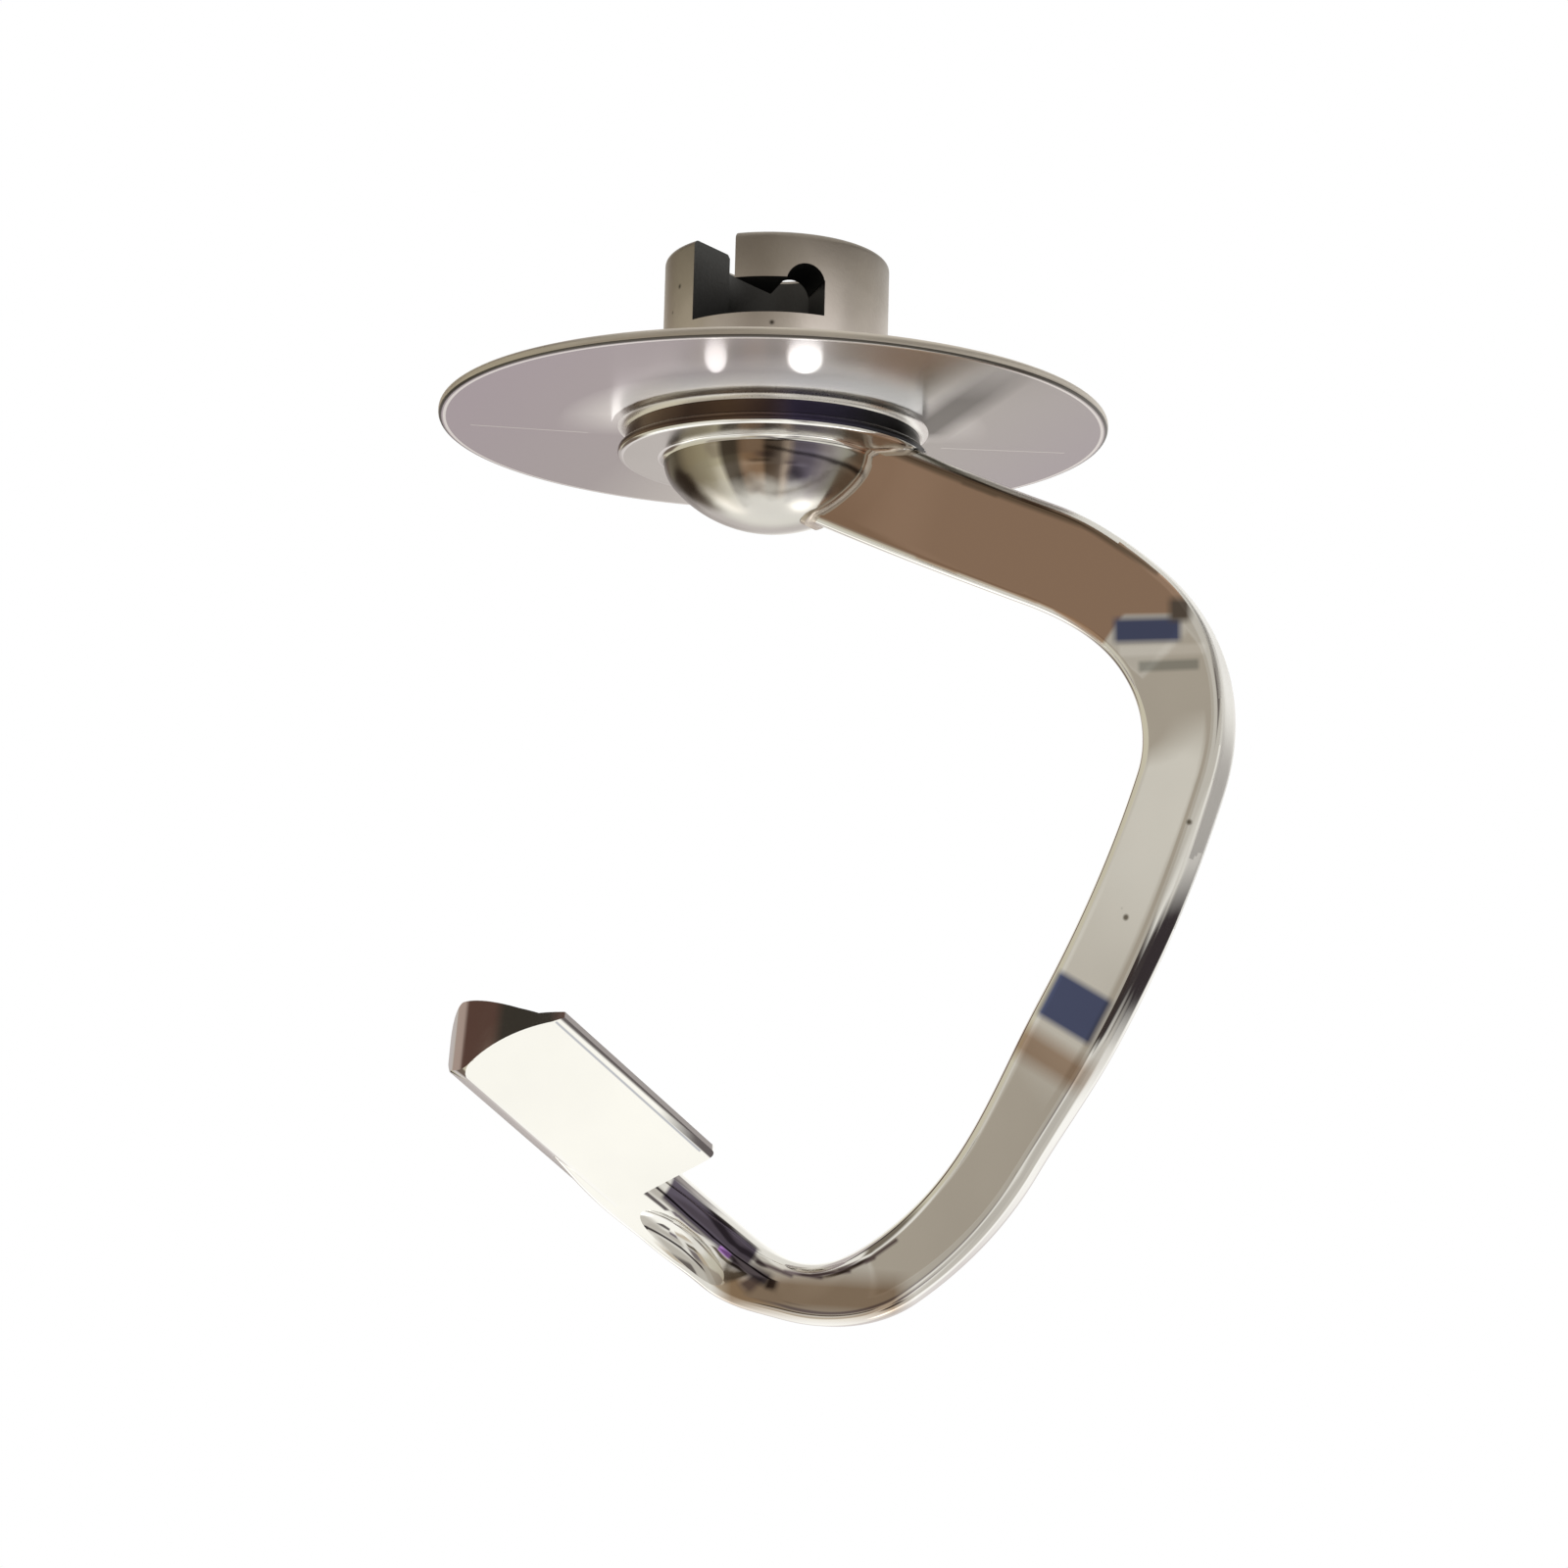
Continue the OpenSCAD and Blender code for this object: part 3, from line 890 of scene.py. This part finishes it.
finishes = [
    (steel("polished_steel", (0.86, 0.85, 0.83), 0.06, 0.04, 0.8, 0.0005, stains_and_painted_light=bar_reflections_and_pits), on_bar),
    (steel("satin_edge", (0.80, 0.79, 0.77), 0.3, 0.1, 3, 0.001), on_outer),
    (steel("dull_fillet", (0.60, 0.53, 0.46), 0.25, 0.05, 3, 0.001), on_fillet),
    # Painted shade: the dome's steel is darker than the bar's, and its bands are painted reflections.
    (steel("polished_dome", (0.68, 0.66, 0.62), 0.18, 0.05, 0.8, 0.0005, 0.8, stains_and_painted_light=dome_painted_reflections), on_dome),
    # Painted dark reflection on the collar's bead and wall.
    (steel("painted_reflection_bead", (0.10, 0.08, 0.07), 0.22, 0.06, 0.8, 0.001, 0.6, stains_and_painted_light=bead_painted_reflection), on_bead),
    (steel("satin_under_collar", (0.62, 0.60, 0.57), 0.2, 0.05, 5, 0.0004), under_collar),
    # Painted light: brighter steel for the light line on the cove above the bead.
    (steel("satin_painted_light_over_bead", (0.93, 0.91, 0.88), 0.28, 0.05, 5, 0.0004), over_bead),
    (steel("satin_shield", (0.54, 0.52, 0.52), 0.23, 0.05, 5, 0.0004, stains_and_painted_light=shield_painted_reflections), on_shield),
    (steel("ground_rim", (0.66, 0.61, 0.55), 0.42, 0.08, 4, 0.003, 0.85), on_rim),
    # Painted shade: a dark line on the lower rounding of the shield's rim.
    (steel("rim_painted_shade", (0.12, 0.11, 0.10), 0.35, 0.05, 4, 0.001), under_rim),
    (steel("cast_skin", (0.42, 0.40, 0.36), 0.42, 0.12, 2.5, 0.02, stains_and_painted_light=hub_tone_and_pits), on_hub),
    # Painted shade inside the bore and the slot.
    (steel("bore_painted_shade", (0.10, 0.10, 0.10), 0.5, 0.1, 2.5, 0.02, 0.7), in_hub),
]
for material, test in finishes:
    hook.data.materials.append(material)
for face in hook.data.polygons:
    centre = face.center / MM
    out = math.hypot(centre.x, centre.y)
    face.material_index = max(i for i, (material, test) in enumerate(finishes) if test(centre, out, face.normal))
for i, (material, test) in enumerate(finishes):
    print(material.name, sum(face.material_index == i for face in hook.data.polygons), "faces")

# %% [markdown]
# ## What the steel reflects
# Polished steel has hardly a colour of its own: it shows what stands round it. A tent of
# soft panels stands round the hook, out of the camera's sight: brown and grey ones in
# front, pale ones behind and below, and dark flags that draw the lines along the edges.

# %% Panels round the hook
# name: direction round from the front to the right, height, half width, half height,
# rise for each degree to the right, softness, colour
panels = {
    "back": (160, -30, 40, 62, 0, 20, paint(252, 251, 247)),
    "back_left": (-165, -30, 30, 60, 0, 14, paint(252, 251, 245)),
    "below": (0, -84, 200, 14, 0, 10, paint(255, 254, 247)),
    "below_back": (180, -58, 36, 18, 0, 10, paint(255, 254, 250)),
    "behind": (180, -14, 32, 13, 0, 14, paint(208, 202, 200)),
    "behind_left": (-164, 2, 14, 12, 0, 8, paint(180, 173, 170)),
    "left": (-112, 5, 40, 40, 0, 12, paint(196, 190, 170)),
    "left_top": (-135, 52, 25, 14, 0, 8, paint(186, 178, 176)),
    "left_edge": (-142, -20, 15, 12, 0, 8, paint(108, 96, 86)),
    "left_low": (-85, -38, 42, 12, 0, 10, paint(196, 192, 176)),
    "front": (-12.5, 2, 15, 36, 0, 4, paint(172, 166, 155)),
    "front_low_left": (-30, -42, 12, 12, 0, 8, paint(180, 168, 148)),
    "front_left": (-51, -6, 24, 26, 0, 4, paint(162, 154, 141)),
    "front_left_light": (-66, 13, 9, 10, -0.3, 13, paint(202, 198, 188)),
    "arc_left": (-80, 40, 32, 7, -0.2, 6, paint(112, 104, 92)),
    "streak": (-117, 39.5, 36, 7, 1.0, 4, paint(84, 62, 54)),
    "streak_low": (-148, 11, 6, 9, 1.0, 4, paint(160, 142, 132)),
    "streak_high": (-104, 52, 14, 8, 1.0, 6, paint(54, 50, 44)),
    "front_high": (-22, 26, 14, 7, 0, 6, paint(90, 80, 68)),
    "front_top": (-20, 48, 24, 10, 0, 8, paint(128, 118, 112)),
    "right": (32, 12, 36, 30, 0, 10, paint(188, 184, 175)),
    "right_side": (96, -42, 34, 22, 0, 12, paint(194, 190, 182)),
    "right_far": (108, -5, 18, 9, 0, 8, paint(172, 168, 164)),
    "right_grey": (62, 20, 34, 8, 0.42, 6, paint(106, 100, 96)),
    "right_dark": (105, 37, 12, 6, 0, 5, paint(74, 68, 64)),
    "right_back": (129, 27, 8, 6, 0, 5, paint(158, 152, 150)),
    "right_low": (50, -46, 34, 9, 0, 8, paint(186, 182, 174)),
    "front_low": (-8, -38, 12, 9, 0, 8, paint(118, 110, 110)),
    "front_lowest": (-18, -54, 16, 4, 0, 4, paint(96, 88, 76)),
    "below_front": (-24, -72, 40, 6, 0, 6, paint(196, 186, 170)),
    "edge_strip": (62, -71, 22, 6, 0, 4, paint(100, 94, 94)),
    "neck_under": (30, -58, 10, 5, 0, 4, paint(118, 110, 116)),
    "arc": (9, -23, 17, 4.5, -0.36, 4, paint(58, 50, 48)),
    "arc_right": (52, -29, 29, 4.5, 0, 4, paint(60, 54, 54)),
    "arc_end": (102, -23, 24, 5, 0.3, 4, paint(54, 48, 50)),
    "glare": (150, -54, 9, 7, 0, 8, (2.4, 2.35, 2.25, 1)),
    "glare_left": (-150, -44, 12, 5, 0, 8, (1.5, 1.45, 1.35, 1)),
}
tent_r = 1.5
tent_level = 1.16

bm = bmesh.new()
bmesh.ops.create_uvsphere(bm, u_segments=48, v_segments=24, radius=tent_r)
mesh = bpy.data.meshes.new("tent")
bm.to_mesh(mesh)
bm.free()
tent = bpy.data.objects.new("tent", mesh)
tent.location = (0, 0, -0.06)
bpy.context.scene.collection.objects.link(tent)
tent.visible_camera = False
tent.visible_diffuse = False
tent.visible_shadow = False

tent_material, w = new_material("tent")
at = w.node("TexCoord", output=3)
x, y, z = (w.node("SeparateXYZ", inputs={0: at}, output=i) for i in range(3))
across = w.math("ARCTAN2", x, y * -1) * (180 / math.pi)
height = w.math("ARCSINE", z / tent_r) * (180 / math.pi)
colour = w.node("RGB")
colour.socket.default_value = paint(226, 224, 217)
for turned_to, tall, half_w, half_h, rise, soft, shade in panels.values():
    side = w.math("WRAP", across - turned_to, 180, -180)
    above = abs(height - tall - side * rise)
    mask = ((half_w - abs(side)) / soft + 0.5).clamped() * ((half_h - above) / soft + 0.5).clamped()
    colour = mask.mixed(colour, shade)
glow = w.node("Emission", inputs={"Color": colour, "Strength": tent_level})
shown(w, glow)
tent.data.materials.append(tent_material)

# %% [markdown]
# ## Small lights
# Two little lights in front of the collar make the highlights under the shield, a row of
# dim ones lifts the shade between them, and a soft one brightens the hub's right.

# %% Lights
def light(name, place, way, length, width, level, shape="RECTANGLE"):
    """A soft light that shines along way, sizes in mm. Level 1 shows white in bare steel."""
    lamp = bpy.data.lights.new(name, "AREA")
    lamp.shape = shape
    lamp.size, lamp.size_y = width * MM, length * MM
    lamp.energy = level * math.pi * length * width * MM * MM
    made = bpy.data.objects.new(name, lamp)
    side = upright.cross(-way).normalized()
    made.matrix_world = placed((side, (-way).cross(side), -way), place)
    bpy.context.scene.collection.objects.link(made)
    made.visible_camera = False


def outward(angle):
    """The way out from the drive axis at an angle from the front to the right."""
    return Vector((math.sin(math.radians(angle)), -math.cos(math.radians(angle)), 0))


for angle in range(-90, 61, 10):
    light("light_ring", outward(angle) * (collar_r + 0.8) - 22.6 * upright, outward(angle), 3.4,
          2 * (collar_r + 0.8) * math.tan(math.radians(5)), 0.5)
for angle, width, level in ((-15, 2.6, 1.1), (8, 4.0, 1.5)):
    way = (outward(angle) + 0.27 * upright).normalized()
    light("highlight", outward(angle) * (collar_r + 7) - 22.8 * upright, way, 3.8, width, level, "ELLIPSE")
light("light_hub", outward(38) * (hub_d / 2 + 16) - 8 * upright, -outward(32), 18, 20, 0.75)
print(len(bpy.data.lights), "small lights")

# %% [markdown]
# ## Floor, light and background
# The hook hangs, as it does in the mixer, over a pale floor. The world is white where the
# camera sees it.

# %% Stage
scene = bpy.context.scene
scene.view_settings.view_transform = "Standard"

bm = bmesh.new()
bmesh.ops.create_grid(bm, x_segments=1, y_segments=1, size=3)
bmesh.ops.translate(bm, vec=(0, 0, -0.30), verts=bm.verts)
mesh = bpy.data.meshes.new("floor")
bm.to_mesh(mesh)
bm.free()
floor = bpy.data.objects.new("floor", mesh)
scene.collection.objects.link(floor)
floor.visible_glossy = False
floor_material, w = new_material("floor")
shown(w, w.node("BsdfDiffuse", inputs={"Color": (0.95, 0.95, 0.95, 1)}))
floor.data.materials.append(floor_material)

world = bpy.data.worlds.new("studio")
world.use_nodes = True
world.node_tree.nodes.clear()
w = Wire(world.node_tree)
back = w.node("Background", inputs={"Color": (1, 1, 1, 1), "Strength": 1.0})
world_out = world.node_tree.nodes.new("ShaderNodeOutputWorld")
world.node_tree.links.new(back.socket, world_out.inputs["Surface"])
scene.world = world
